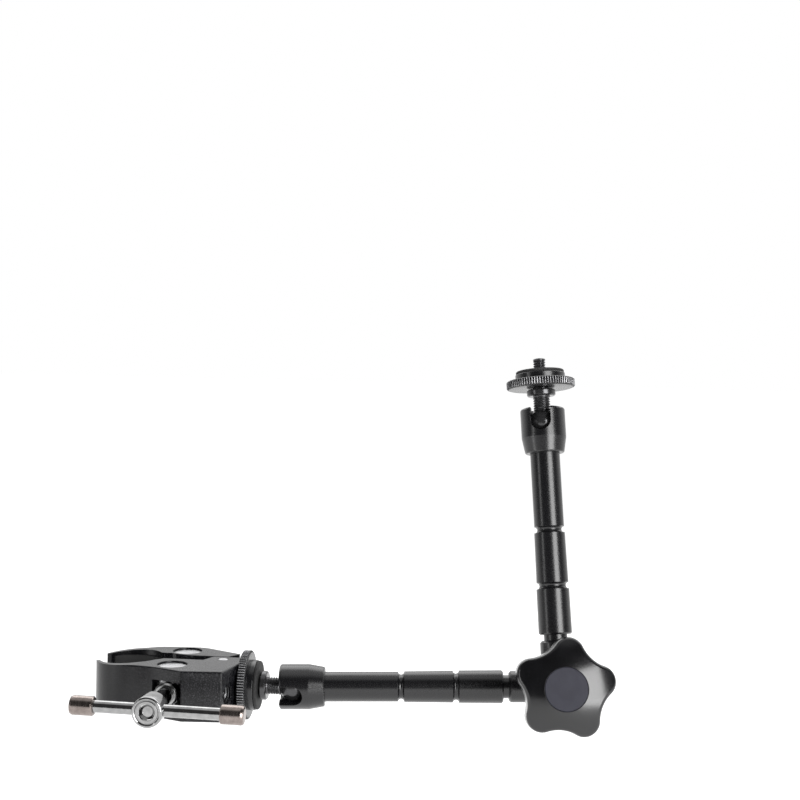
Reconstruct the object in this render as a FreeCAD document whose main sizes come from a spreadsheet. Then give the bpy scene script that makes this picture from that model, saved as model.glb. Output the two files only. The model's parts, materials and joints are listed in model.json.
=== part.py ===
import FreeCAD, Part
import math
import os
import Sketcher

# Articulating friction arm on a rail clamp, in millimetres, +Z up along the gripped rail.
# The origin is on the rail's axis at the clamp's mid height, and +X points from there to the arm.
# A stud stands in the clamp's end. A ball joint carries the lower arm, an elbow with a star knob
# carries the upper arm, and a second ball joint carries the camera screw.

Vector = FreeCAD.Vector
X_AXIS = Vector(1, 0, 0)
Y_AXIS = Vector(0, 1, 0)
Z_AXIS = Vector(0, 0, 1)

# Driving sizes, each one free to change by itself
SIZES = {
    "grip_radius": 15.0,
    "pad_thickness": 1.2,
    "pad_height": 19.0,
    "front_pad_angle": 118.0,
    "rear_pad_angle": 100.0,
    "jaw_height": 25.4,
    "jaw_tip_height": 21.5,
    "jaw_wrap_radius": 20.8,
    "jaw_wrap_shift": 3.0,
    "jaw_rim_radius": 1.0,
    "front_sweep_radius": 40.0,
    "rear_sweep_radius": 15.0,
    "front_corner_radius": 2.5,
    "end_corner_radius": 1.2,
    "front_shoulder_run": 7.5,
    "front_bulge_run": 8.0,
    "front_bulge": 6.8,
    "front_end_bulge": 5.0,
    "slant_run": 4.5,
    "end_face_margin": 1.7,
    "ear_run": 6.0,
    "ear_set_back": 0.7,
    "front_slope_run": 5.4,
    "front_seat_lip": 4.4,
    "rear_shoulder_run": 15.3,
    "rear_shoulder_bulge": 0.6,
    "rear_bulge_run": 7.0,
    "rear_bulge": 2.6,
    "rear_end_run": 4.3,
    "rear_end_drop": 1.8,
    "rear_end_edge": 2.0,
    "rear_seam_front": 1.5,
    "rear_seam_back": 7.0,
    "rear_seam_gap": 0.4,
    "rear_hollow_start": 3.7,
    "rear_hollow_end": 4.2,
    "rear_hollow_depth": 0.7,
    "rear_tip_depth": 3.5,
    "screw_reach": 25.5,
    "trunnion_offset": 15.8,
    "trunnion_radius": 7.6,
    "trunnion_recess": 1.0,
    "trunnion_flat": 6.3,
    "trunnion_edge": 0.4,
    "collar_slot_side": 2.1,
    "collar_slot_rise": 0.4,
    "screw_slot_side": 1.9,
    "screw_slot_rise": 0.6,
    "hinge_reach": 48.0,
    "hinge_pin_radius": 2.75,
    "hinge_pin_edge": 0.5,
    "knuckle_radius": 5.2,
    "knuckle_height": 10.0,
    "knuckle_slack": 0.3,
    "knuckle_lift": 0.1,
    "knuckle_web": 5.0,
    "end_wall": 10.3,
    "screw_radius": 4.0,
    "screw_tip": 26.0,
    "shank_radius": 4.25,
    "collar_radius": 6.0,
    "collar_length": 6.9,
    "collar_edge": 0.8,
    "screw_edge": 1.1,
    "head_reach": 62.4,
    "head_radius": 7.5,
    "head_length": 12.4,
    "bar_radius": 3.0,
    "bar_length": 84.5,
    "bar_cap_radius": 4.7,
    "bar_cap_length": 11.5,
    "bar_cap_wall": 2.5,
    "bar_slide": 3.6,
    "bar_turn": 1.0,
    "bar_set_back": 0.3,
    "bar_edge": 0.5,
    "bar_cap_edge": 1.4,
    "accessory_hole_radius": 4.76,
    "accessory_hole_depth": 9.0,
    "accessory_hole_margin": 1.4,
    "wheel_radius": 17.5,
    "wheel_thickness": 4.4,
    "wheel_edge": 0.6,
    "hub_radius": 12.7,
    "hub_thickness": 3.2,
    "wheel_pad_radius": 12.3,
    "wheel_pad_thickness": 1.6,
    "wheel_pad_edge": 0.4,
    "nut_radius": 7.3,
    "nut_thickness": 3.4,
    "nut_edge": 0.6,
    "wheel_gap": 0.6,
    "neck_length": 13.5,
    "neck_radius": 4.4,
    "stud_shank_radius": 4.0,
    "thread_radius": 3.175,
    "thread_edge": 0.5,
    "relief_radius": 2.6,
    "relief_length": 0.7,
    "shank_set_back": 0.3,
    "stud_hole_wall": 0.8,
    "camera_thread_length": 6.3,
    "spigot_radius": 2.6,
    "spigot_depth": 2.0,
    "ball_flat": 6.0,
    "arm_reach": 133.0,
    "tube_radius": 7.5,
    "tube_middle_radius": 8.0,
    "tube_end_radius": 8.3,
    "tube_edge": 0.7,
    "first_step": 0.2,
    "second_step": 0.15,
    "groove_setback": 24.0,
    "groove_spacing": 28.0,
    "groove_radius": 1.6,
    "groove_lift": 0.2,
    "tube_front": 10.5,
    "elbow_setback": 26.0,
    "socket_radius": 11.35,
    "socket_rear_radius": 10.0,
    "socket_mouth": 7.0,
    "socket_rear": 16.0,
    "socket_taper": 8.0,
    "socket_edge": 1.0,
    "mouth_radius": 6.5,
    "slot_width": 10.2,
    "slot_depth": 12.1,
    "seat_thickness": 1.5,
    "seat_reach_radius": 6.2,
    "seat_rim": 4.6,
    "rod_radius": 3.0,
    "rod_edge": 1.0,
    "rod_overlap": 0.8,
    "elbow_neck_radius": 5.8,
    "elbow_neck_length": 3.0,
    "elbow_body_radius": 7.9,
    "elbow_edge": 1.0,
    "barrel_edge": 0.8,
    "elbow_spigot_radius": 5.0,
    "elbow_spigot_length": 6.0,
    "barrel_radius": 11.0,
    "barrel_rear": 9.5,
    "barrel_front": 10.5,
    "arm_stack": 24.0,
    "disc_thickness": 0.8,
    "bolt_radius": 4.5,
    "bolt_waist_radius": 3.2,
    "bolt_waist_half": 0.8,
    "bolt_cone_half": 4.0,
    "bolt_edge": 0.8,
    "bolt_thread_radius": 4.0,
    "bolt_head_radius": 8.0,
    "bolt_head_thickness": 3.5,
    "bolt_socket_radius": 3.0,
    "bolt_engagement": 13.0,
    "washer_thickness": 1.5,
    "washer_radius": 10.5,
    "washer_edge": 0.3,
    "knob_radius": 24.4,
    "knob_valley_radius": 19.0,
    "knob_lobe_radius": 7.5,
    "knob_thickness": 17.5,
    "knob_hub_radius": 10.0,
    "knob_hub_length": 7.5,
    "knob_cap_radius": 10.4,
    "knob_cap_thickness": 2.2,
    "knob_cap_edge": 0.4,
    "knob_cap_drop": 0.15,
    "knob_edge": 2.4,
    "knob_back_edge": 1.6,
    "knob_dome_radius": 50.0,
    "insert_radius": 6.5,
    "insert_length": 15.0,
    "insert_end_wall": 1.2,
    "arm_turn": 4.8,
    "arm_rise": 1.3,
    "arm_lean": 12.5,
    "elbow_angle": 87.8,
    "lower_slot_turn": 27.5,
    "upper_slot_turn": 12.0,
    "upper_stud_tilt": 2.9,
    "running_gap": 0.05,
}

# Counts, angles and shares that don't grow with the arm
KNOB_LOBES = 5
KNOB_FIRST_LOBE = 12.0
FRONT_TIP_SHARE = 0.45
REAR_TIP_SHARE = 0.6
DISH_SHARE = 0.45
GROOVE_SHARE = 0.69
RING_SHARE = 0.09
HEX_SIDES = 6
HEX_DEPTH_SHARE = 0.7
TOOL_OVERSHOOT = 1.5
FRONT_PAD_MIDDLE = 265.0
REAR_PAD_MIDDLE = 90.0
WHOLE_TURN = 360.0
FULL_HEIGHT_SHARE = 0.9
SAME_PLACE = 1e-3


class Size:
    """A value together with the expression that gives it from the sheet."""

    def __init__(self, text, value):
        self.text = text
        self.value = value

    def join(self, sign, other, value):
        return Size(f"({self.text} {sign} {as_size(other).text})", value)

    def __add__(self, other):
        return self.join("+", other, self.value + as_size(other).value)

    def __sub__(self, other):
        return self.join("-", other, self.value - as_size(other).value)

    def __mul__(self, other):
        return self.join("*", other, self.value * as_size(other).value)

    def __truediv__(self, other):
        return self.join("/", other, self.value / as_size(other).value)

    def __neg__(self):
        return Size(f"(0 - {self.text})", -self.value)


def as_size(number):
    return number if isinstance(number, Size) else Size(repr(float(number)), float(number))


class Sizes:
    """The sheet's values by name, as Size objects."""


def make_sheet(doc):
    sheet = doc.addObject("Spreadsheet::Sheet", "sizes")
    named = Sizes()
    for row, (name, value) in enumerate(SIZES.items(), start=1):
        sheet.set(f"A{row}", name)
        sheet.set(f"B{row}", str(value))
        sheet.setAlias(f"B{row}", name)
    doc.recompute()
    for name in SIZES:
        setattr(named, name, Size(f"sizes.{name}", float(sheet.get(name))))
    return named


doc = FreeCAD.newDocument("friction_arm")
s = make_sheet(doc)
NODES = []


# Building helpers
def new_body(label):
    body = doc.addObject("PartDesign::Body", label)
    body.Label = label
    NODES.append(body)
    return body


def bind(thing, name, size):
    """Ties one property to the sheet."""
    size = as_size(size)
    thing.setExpression(name, size.text)


def plane_of(body, role):
    return next(plane for plane in body.Origin.OriginFeatures if plane.Role == role)


def new_sketch(body, role, lift=0.0):
    """Sketch on one of the body's own planes, lifted along the plane's normal."""
    sketch = body.newObject("Sketcher::SketchObject", body.Name + "_sketch")
    sketch.AttachmentSupport = [(plane_of(body, role), "")]
    sketch.MapMode = "FlatFace"
    lift = as_size(lift)
    sketch.AttachmentOffset = FreeCAD.Placement(Vector(0, 0, lift.value), FreeCAD.Rotation())
    bind(sketch, "AttachmentOffset.Base.z", lift)
    return sketch


def tie_point(sketch, geometry, place, across, up):
    """Ties one point of a sketch to the sheet in both directions."""
    for kind, size, axis in (("DistanceX", as_size(across), -2), ("DistanceY", as_size(up), -1)):
        if size.value == 0.0:
            sketch.addConstraint(Sketcher.Constraint("PointOnObject", geometry, place, axis))
        else:
            rule = Sketcher.Constraint(kind, -1, 1, geometry, place, size.value)
            index = sketch.addConstraint(rule)
            sketch.setExpression(f"Constraints[{index}]", size.text)


def draw_polygon(sketch, corners):
    points = [Vector(as_size(a).value, as_size(b).value, 0) for a, b in corners]
    count = len(points)
    lines = [Part.LineSegment(points[i], points[(i + 1) % count]) for i in range(count)]
    sketch.addGeometry(lines, False)
    joints = [Sketcher.Constraint("Coincident", i, 2, (i + 1) % count, 1) for i in range(count)]
    sketch.addConstraint(joints)
    for index, (across, up) in enumerate(corners):
        tie_point(sketch, index, 1, across, up)
    return sketch


def draw_circle(sketch, across, up, radius):
    centre = Vector(as_size(across).value, as_size(up).value, 0)
    radius = as_size(radius)
    number = sketch.addGeometry(Part.Circle(centre, Z_AXIS, radius.value), False)
    tie_point(sketch, number, 3, across, up)
    index = sketch.addConstraint(Sketcher.Constraint("Radius", number, radius.value))
    sketch.setExpression(f"Constraints[{index}]", radius.text)
    return sketch


def volume_of(body):
    doc.recompute()
    return body.Shape.Volume


def check_change(body, before, grows):
    after = volume_of(body)
    changed = after > before if grows else after < before
    if not changed:
        raise RuntimeError(f"{body.Label}: a feature changed nothing")


def turn_outline(body, corners):
    """Solid of revolution about the body's X axis from corners (along, radius)."""
    sketch = draw_polygon(new_sketch(body, "XY_Plane"), corners)
    turned = body.newObject("PartDesign::Revolution", body.Name + "_turned")
    turned.Profile = sketch
    turned.ReferenceAxis = (sketch, ["H_Axis"])
    turned.Angle = WHOLE_TURN
    doc.recompute()
    return turned


def turned_body(label, corners):
    body = new_body(label)
    turn_outline(body, corners)
    return body


def rod_corners(start, end, radius, edge):
    """Outline of a plain rod with a chamfer at each end."""
    return [(start, 0), (start, radius - edge), (start + edge, radius), (end - edge, radius),
            (end, radius - edge), (end, 0)]


def ring_corners(start, length, outer, inner, edge):
    """Outline of a ring with its outer edges chamfered."""
    end = start + length
    return [(start, inner), (start, outer - edge), (start + edge, outer), (end - edge, outer),
            (end, outer - edge), (end, inner)]


def pad_sketch(body, sketch, length):
    pad = body.newObject("PartDesign::Pad", body.Name + "_prism")
    pad.Profile = sketch
    pad.Length = as_size(length).value
    bind(pad, "Length", length)
    doc.recompute()
    return pad


def pad_level(body, corners, height):
    """Upright prism on a plan outline, centred on the mid height."""
    pad = pad_sketch(body, draw_polygon(new_sketch(body, "XY_Plane"), corners), height)
    pad.SideType = "Symmetric"
    doc.recompute()
    return pad


def place_along(feature, start, direction):
    """Puts a primitive's own Z axis along a direction from a start point tied to the sheet."""
    start = [as_size(distance) for distance in start]
    turn = FreeCAD.Rotation(Z_AXIS, direction)
    feature.Placement = FreeCAD.Placement(Vector(*[distance.value for distance in start]), turn)
    for axis, distance in zip("xyz", start):
        bind(feature, f"Placement.Base.{axis}", distance)


def round_tool(body, kind, radius, length, start, direction):
    before = volume_of(body)
    tool = body.newObject(f"PartDesign::{kind}Cylinder", body.Name + "_round")
    bind(tool, "Radius", radius)
    bind(tool, "Height", length)
    place_along(tool, start, direction)
    check_change(body, before, kind == "Additive")
    return tool


def bore(body, radius, length, start, direction):
    return round_tool(body, "Subtractive", radius, length, start, direction)


def boss(body, radius, length, start, direction):
    return round_tool(body, "Additive", radius, length, start, direction)


def box_cut(body, length, width, height, start):
    before = volume_of(body)
    tool = body.newObject("PartDesign::SubtractiveBox", body.Name + "_box")
    bind(tool, "Length", length)
    bind(tool, "Width", width)
    bind(tool, "Height", height)
    place_along(tool, start, Z_AXIS)
    check_change(body, before, False)
    return tool


def ball_cut(body, radius, start):
    before = volume_of(body)
    tool = body.newObject("PartDesign::SubtractiveSphere", body.Name + "_ball")
    bind(tool, "Radius", radius)
    place_along(tool, start, Z_AXIS)
    check_change(body, before, False)
    return tool


def edges_where(shape, test):
    return [f"Edge{i}" for i, edge in enumerate(shape.Edges, start=1) if test(edge)]


def dress(body, kind, size, test):
    """Fillet or chamfer on the edges that pass the test."""
    doc.recompute()
    base = body.Tip
    edges = edges_where(base.Shape, test)
    if not edges:
        raise RuntimeError(f"{body.Label}: no edge to dress")
    feature = body.newObject(f"PartDesign::{kind}", body.Name + "_" + kind.lower())
    feature.Base = (base, edges)
    bind(feature, "Radius" if kind == "Fillet" else "Size", size)
    doc.recompute()
    return feature


def is_round_edge(edge, radius):
    curve = edge.Curve
    return isinstance(curve, Part.Circle) and abs(curve.Radius - as_size(radius).value) < 1e-6


def frame(origin, x_direction, y_direction):
    """Placement whose own X and Y axes lie along two square directions."""
    z_direction = x_direction.cross(y_direction)
    matrix = FreeCAD.Matrix(
        x_direction.x, y_direction.x, z_direction.x, origin.x,
        x_direction.y, y_direction.y, z_direction.y, origin.y,
        x_direction.z, y_direction.z, z_direction.z, origin.z,
        0, 0, 0, 1)
    return FreeCAD.Placement(matrix)


def turn(axis, degrees):
    return FreeCAD.Placement(Vector(), FreeCAD.Rotation(axis, degrees))


def shift(x, y, z):
    return FreeCAD.Placement(Vector(x, y, z), FreeCAD.Rotation())


# Derived sizes
clamp_end = s.hinge_reach + s.end_wall
lower_thread_length = s.end_wall - s.knuckle_radius - s.knuckle_slack - s.stud_hole_wall
half_jaw = s.jaw_height / 2
half_knuckle = s.knuckle_height / 2
pad_seat_radius = s.grip_radius + s.pad_thickness
wheel_length = s.wheel_thickness + s.hub_thickness
wheel_start = s.neck_length + s.nut_thickness + s.wheel_gap
wheel_set_end = wheel_start + wheel_length + s.wheel_pad_thickness
ball_reach = clamp_end + wheel_set_end
ball_gap = s.running_gap * 2
ball_radius = s.tube_radius - ball_gap
seat_inner_radius = ball_radius + s.running_gap
seat_outer_radius = seat_inner_radius + s.seat_thickness
half_disc = s.disc_thickness / 2
bar_reach = s.head_reach - s.head_length / 2 + s.bar_set_back
collar_start = s.trunnion_offset + s.trunnion_flat
tube_end = s.arm_reach - s.elbow_setback
second_groove = tube_end - s.groove_setback
first_groove = second_groove - s.groove_spacing
upper_front = s.arm_stack + s.barrel_front
knob_back = upper_front + s.washer_thickness
knob_front = knob_back + s.knob_hub_length + s.knob_thickness
front_inner = -(s.trunnion_offset - s.trunnion_radius - s.front_seat_lip)
front_face = s.trunnion_offset + s.trunnion_radius
rear_seam = s.knuckle_radius + s.rear_seam_gap
counterbore_radius = s.collar_radius + s.running_gap * 4

# Where the assemblies stand
BALL_CENTRE = Vector(ball_reach.value, 0, 0)
LOWER_ARM = (shift(ball_reach.value, 0, 0) * turn(Z_AXIS, s.arm_turn.value)
             * turn(Y_AXIS, -s.arm_rise.value) * turn(X_AXIS, -s.arm_lean.value))
ELBOW = LOWER_ARM * shift(s.arm_reach.value, 0, 0)
UPPER_ARM = (ELBOW * shift(0, -s.arm_stack.value, 0) * turn(Y_AXIS, s.elbow_angle.value)
             * shift(-s.arm_reach.value, 0, 0))
LOWER_STUD = shift(ball_reach.value, 0, 0) * turn(Z_AXIS, 180)
UPPER_SOCKET = UPPER_ARM * turn(X_AXIS, s.upper_slot_turn.value)
UPPER_STUD = UPPER_SOCKET * turn(Z_AXIS, 180 + s.upper_stud_tilt.value)
BAR_DIRECTION = turn(Y_AXIS, s.bar_turn.value).multVec(X_AXIS)
SCREW = frame(Vector(s.screw_reach.value, 0, 0), Y_AXIS, BAR_DIRECTION)
BOLT = ELBOW * turn(Z_AXIS, -90)


# Clamp jaws
def cut_jaw_tip(body):
    """Tapers the jaw's top and bottom towards its tip."""
    tip = -s.jaw_wrap_radius
    start = s.grip_radius / 2
    low = s.jaw_tip_height / 2
    beyond = s.jaw_height
    for side in (1, -1):
        before = volume_of(body)
        sketch = new_sketch(body, "XZ_Plane")
        draw_polygon(sketch, [(start, half_jaw * side), (tip, low * side), (tip, beyond * side),
                              (start, beyond * side)])
        pocket = body.newObject("PartDesign::Pocket", body.Name + "_taper")
        pocket.Profile = sketch
        pocket.Type = "ThroughAll"
        pocket.SideType = "Symmetric"
        check_change(body, before, False)


def is_rim_edge(edge):
    """An edge in the jaw's top or bottom plane."""
    box = edge.BoundBox
    flat = box.ZLength < 1e-6
    return flat and abs(abs(box.ZMin) - half_jaw.value) < 1e-6


def is_upright_at(edge, place):
    """A full-height edge above one corner of the plan."""
    centre = edge.CenterOfMass
    across = centre.x - as_size(place[0]).value
    away = centre.y - as_size(place[1]).value
    upright = edge.BoundBox.ZLength > s.jaw_height.value * FULL_HEIGHT_SHARE
    return upright and math.hypot(across, away) < SAME_PLACE


def soften_corners(body, radius, places):
    """Rounds the upright edges above some corners of the plan."""
    dress(body, "Fillet", radius, lambda edge: any(is_upright_at(edge, place) for place in places))


def jaw_wrap(body, tip_level, side):
    """The curved end that wraps the rail, kept on the jaw's own side."""
    wrap = body.newObject("PartDesign::AdditiveCylinder", body.Name + "_wrap")
    bind(wrap, "Radius", s.jaw_wrap_radius)
    bind(wrap, "Height", s.jaw_height)
    place_along(wrap, (s.jaw_wrap_shift, 0, -half_jaw), Z_AXIS)
    wide = s.jaw_wrap_radius * 2
    start = tip_level if side < 0 else tip_level - wide
    box_cut(body, wide, wide, s.jaw_height, (s.jaw_wrap_shift - s.jaw_wrap_radius, start, -half_jaw))


def finish_jaw_block(body):
    """Round outer rim, tapered tip and the bore that holds the lining."""
    dress(body, "Fillet", s.jaw_rim_radius, is_outer_rim)
    cut_jaw_tip(body)
    bore(body, pad_seat_radius, s.jaw_height, (0, 0, -half_jaw), Z_AXIS)


def make_front_jaw():
    body = new_body("front_jaw")
    ear_back = s.knuckle_radius - s.ear_set_back
    wrap_corner = (s.jaw_wrap_shift, -s.jaw_wrap_radius)
    shoulder = (s.screw_reach - s.front_shoulder_run, -front_face)
    bulge = (s.screw_reach + s.front_bulge_run, -(front_face + s.front_bulge))
    slant_start = (clamp_end - s.slant_run, -(front_face + s.front_end_bulge))
    corners = [
        wrap_corner,
        shoulder,
        bulge,
        slant_start,
        (clamp_end, -(s.nut_radius + s.end_face_margin)),
        (clamp_end, ear_back),
        (s.hinge_reach - s.ear_run, ear_back),
        (s.screw_reach + s.trunnion_radius + s.front_slope_run, front_inner),
        (s.screw_reach - s.trunnion_radius, front_inner),
        (s.grip_radius, front_inner * 2),
        (s.jaw_wrap_shift, front_inner * 2),
    ]
    jaw_wrap(body, -(s.grip_radius * FRONT_TIP_SHARE), -1)
    pad_level(body, corners, s.jaw_height)
    soften_corners(body, s.front_sweep_radius, [wrap_corner, shoulder])
    soften_corners(body, s.front_corner_radius, [bulge])
    soften_corners(body, s.end_corner_radius, [slant_start])
    finish_jaw_block(body)
    cut_trunnion_seat(body, -1, s.collar_radius + s.collar_slot_side, s.collar_radius + s.collar_slot_rise)
    cut_front_knuckle(body)
    bore(body, s.hinge_pin_radius, s.jaw_height, (s.hinge_reach, 0, -half_jaw), Z_AXIS)
    bore(body, s.thread_radius, lower_thread_length, (clamp_end - lower_thread_length, 0, 0), X_AXIS)
    cut_accessory_hole(body)
    return body


def is_outer_rim(edge):
    """A top or bottom edge on the side that faces away from the rail and the other jaw."""
    centre = edge.CenterOfMass
    outside = abs(centre.y) > s.trunnion_offset.value
    return is_rim_edge(edge) and (outside or centre.x < -s.grip_radius.value / 2)


def cut_trunnion_seat(body, side, half_slot, half_slot_height):
    """The upright bore for the trunnion and the slot that the screw swings in."""
    offset = s.trunnion_offset * side
    bore(body, s.trunnion_radius + s.running_gap, s.jaw_height, (s.screw_reach, offset, -half_jaw), Z_AXIS)
    start = offset if side > 0 else offset - s.trunnion_offset
    box_cut(body, half_slot * 2, s.trunnion_offset, half_slot_height * 2,
            (s.screw_reach - half_slot, start, -half_slot_height))
    inner_half = s.screw_radius + s.screw_slot_side
    inner_start = 0 if side > 0 else offset
    box_cut(body, inner_half * 2, s.trunnion_offset, inner_half * 2,
            (s.screw_reach - inner_half, inner_start, -inner_half))


def cut_front_knuckle(body):
    """The middle slot that the rear jaw's knuckle turns in."""
    slot_radius = s.knuckle_radius + s.knuckle_slack
    low = -(half_knuckle + s.knuckle_lift)
    tall = s.knuckle_height + s.knuckle_lift * 2
    bore(body, slot_radius, tall, (s.hinge_reach, 0, low), Z_AXIS)
    box_cut(body, s.hinge_reach - s.screw_reach - s.trunnion_radius, slot_radius * 2, tall,
            (s.screw_reach + s.trunnion_radius, -slot_radius, low))


def accessory_hole_place():
    """Centre of the accessory hole's mouth and the outward normal of its slanted face."""
    corner = Vector((clamp_end - s.slant_run).value, -(front_face + s.front_end_bulge).value, 0)
    inner = Vector(clamp_end.value, -(s.nut_radius + s.end_face_margin).value, 0)
    along = (inner - corner).normalize()
    normal = Vector(along.y, -along.x, 0)
    reach = s.accessory_hole_radius + s.accessory_hole_margin
    return corner + along * reach.value, normal


def cut_accessory_hole(body):
    mouth, normal = accessory_hole_place()
    start = mouth - normal * s.accessory_hole_depth.value
    length = s.accessory_hole_depth * TOOL_OVERSHOOT
    bore(body, s.accessory_hole_radius, length, (start.x, start.y, start.z), normal)


def make_rear_jaw():
    body = new_body("rear_jaw")
    hollow_level = s.trunnion_offset - s.trunnion_radius - s.rear_hollow_depth
    tip_inner = s.trunnion_offset - s.rear_tip_depth
    wrap_corner = (s.jaw_wrap_shift, s.jaw_wrap_radius)
    shoulder = (s.screw_reach - s.rear_shoulder_run, front_face + s.rear_shoulder_bulge)
    bulge = (s.screw_reach + s.rear_bulge_run, front_face + s.rear_bulge)
    end_level = s.trunnion_offset - s.rear_end_drop
    corners = [
        wrap_corner,
        shoulder,
        bulge,
        (clamp_end - s.rear_end_run, end_level),
        (clamp_end - s.rear_end_run, end_level - s.rear_end_edge),
        (s.hinge_reach + s.rear_seam_front, rear_seam),
        (s.hinge_reach - s.rear_seam_back, rear_seam),
        (s.screw_reach + s.rear_hollow_start, rear_seam),
        (s.screw_reach - s.rear_hollow_end, hollow_level),
        (s.grip_radius, tip_inner),
        (s.jaw_wrap_shift, tip_inner),
    ]
    jaw_wrap(body, s.grip_radius * REAR_TIP_SHARE, 1)
    pad_level(body, corners, s.jaw_height)
    soften_corners(body, s.rear_sweep_radius, [wrap_corner, shoulder, bulge])
    finish_jaw_block(body)
    cut_trunnion_seat(body, 1, s.screw_radius + s.screw_slot_side, s.screw_radius + s.screw_slot_rise)
    boss(body, s.knuckle_radius, s.knuckle_height, (s.hinge_reach, 0, -half_knuckle), Z_AXIS)
    web_start = s.hinge_reach - s.knuckle_web
    web_end = s.hinge_reach + s.rear_seam_front
    web_top = rear_seam + s.rear_seam_gap * 2
    web = [(web_start, s.knuckle_slack), (web_end, s.knuckle_slack), (web_end, web_top), (web_start, web_top)]
    pad_level(body, web, s.knuckle_height)
    bore(body, s.hinge_pin_radius + s.running_gap, s.jaw_height, (s.hinge_reach, 0, -half_jaw), Z_AXIS)
    return body


def make_jaw_pad(label, middle_angle, spread):
    """Rubber lining between the jaw and the rail, a sector of a ring."""
    ring = doc.addObject("Part::Cylinder", label + "_ring")
    core = doc.addObject("Part::Cylinder", label + "_core")
    for cylinder, radius in ((ring, pad_seat_radius), (core, s.grip_radius)):
        bind(cylinder, "Radius", radius)
        bind(cylinder, "Height", s.pad_height)
    bind(ring, "Angle", spread)
    start = middle_angle - spread.value / 2
    ring.Placement = FreeCAD.Placement(Vector(0, 0, -s.pad_height.value / 2), FreeCAD.Rotation(Z_AXIS, start))
    core.Placement = shift(0, 0, -s.pad_height.value / 2)
    pad = doc.addObject("Part::Cut", label)
    pad.Base = ring
    pad.Tool = core
    pad.Label = label
    NODES.append(pad)
    return pad


def make_hinge_pin():
    body = turned_body("hinge_pin", rod_corners(-half_jaw, half_jaw, s.hinge_pin_radius, s.hinge_pin_edge))
    body.Placement = frame(Vector(s.hinge_reach.value, 0, 0), Z_AXIS, Y_AXIS)
    return body


# Clamp screw with its two trunnions and sliding handle
def make_trunnion(label, side):
    half = half_jaw - s.trunnion_recess
    body = turned_body(label, rod_corners(-half, half, s.trunnion_radius, s.trunnion_edge))
    start = -(s.trunnion_radius * 2)
    bore(body, s.screw_radius + s.running_gap, s.trunnion_radius * 4, (0, start, 0), Y_AXIS)
    if side < 0:
        start = -(s.trunnion_flat + s.trunnion_radius)
        bore(body, counterbore_radius, s.trunnion_radius, (0, start, 0), Y_AXIS)
    body.Placement = frame(Vector(s.screw_reach.value, s.trunnion_offset.value * side, 0), Z_AXIS, Y_AXIS)
    return body


def make_clamp_screw():
    end = -s.head_reach
    shoulder = end + s.head_length
    collar_end = -collar_start
    edge = s.screw_edge
    dish = end + edge
    corners = [
        (dish, 0),
        (dish, s.head_radius * DISH_SHARE),
        (end + edge / 5, s.head_radius * (DISH_SHARE + RING_SHARE)),
        (end + edge / 5, s.head_radius * (GROOVE_SHARE - RING_SHARE)),
        (end + edge / 2, s.head_radius * GROOVE_SHARE),
        (end + edge / 2, s.head_radius * (GROOVE_SHARE + RING_SHARE / 2)),
        (end, s.head_radius * (GROOVE_SHARE + RING_SHARE)),
        (end + edge, s.head_radius),
        (shoulder - edge, s.head_radius),
        (shoulder + edge, s.shank_radius),
        (collar_end, s.shank_radius),
        (collar_end, s.screw_radius),
        (s.screw_tip - edge, s.screw_radius),
        (s.screw_tip, s.screw_radius - edge),
        (s.screw_tip, 0),
    ]
    body = turned_body("clamp_screw", corners)
    bore(body, s.bar_radius + s.running_gap, s.head_radius * 4, (-bar_reach, -(s.head_radius * 2), 0), Y_AXIS)
    body.Placement = SCREW
    return body


def make_screw_collar():
    near = -collar_start
    far = near - s.collar_length
    edge = s.collar_edge
    corners = [(far, s.shank_radius), (far, s.collar_radius - edge), (far + edge, s.collar_radius),
               (near, s.collar_radius), (near, s.shank_radius)]
    body = turned_body("screw_collar", corners)
    body.Placement = SCREW
    return body


def bar_place():
    """Middle of the handle bar, slid along its own direction."""
    centre = Vector(s.screw_reach.value, -bar_reach.value, 0) + BAR_DIRECTION * s.bar_slide.value
    return frame(centre, BAR_DIRECTION, Y_AXIS)


def make_tee_bar():
    half = s.bar_length / 2 - s.bar_cap_wall
    body = turned_body("tee_bar", rod_corners(-half, half, s.bar_radius, s.bar_edge))
    body.Placement = bar_place()
    return body


def make_tee_cap(label, side):
    end = s.bar_length / 2
    inner = end - s.bar_cap_length
    bottom = end - s.bar_cap_wall
    edge = s.bar_cap_edge
    lip = s.bar_edge
    corners = [
        (inner, s.bar_radius),
        (inner, s.bar_cap_radius - lip),
        (inner + lip, s.bar_cap_radius),
        (end - edge, s.bar_cap_radius),
        (end - edge / 4, s.bar_cap_radius - edge / 3),
        (end, s.bar_cap_radius - edge),
        (end, 0),
        (bottom, 0),
        (bottom, s.bar_radius),
    ]
    body = turned_body(label, corners)
    body.Placement = bar_place() * turn(Z_AXIS, 0 if side > 0 else 180)
    return body


# Ball stud, nut and locking wheel, along X outward from the ball's centre
def make_ball(label, place):
    body = new_body(label)
    ball = body.newObject("PartDesign::AdditiveSphere", label + "_sphere")
    bind(ball, "Radius", ball_radius)
    box_cut(body, s.tube_radius, s.tube_radius * 2, s.tube_radius * 2,
            (s.ball_flat, -s.tube_radius, -s.tube_radius))
    bottom = -(s.spigot_depth + s.running_gap)
    bore(body, s.spigot_radius + s.running_gap, s.tube_radius * 2, (bottom, 0, 0), X_AXIS)
    body.Placement = place
    return body


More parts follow.
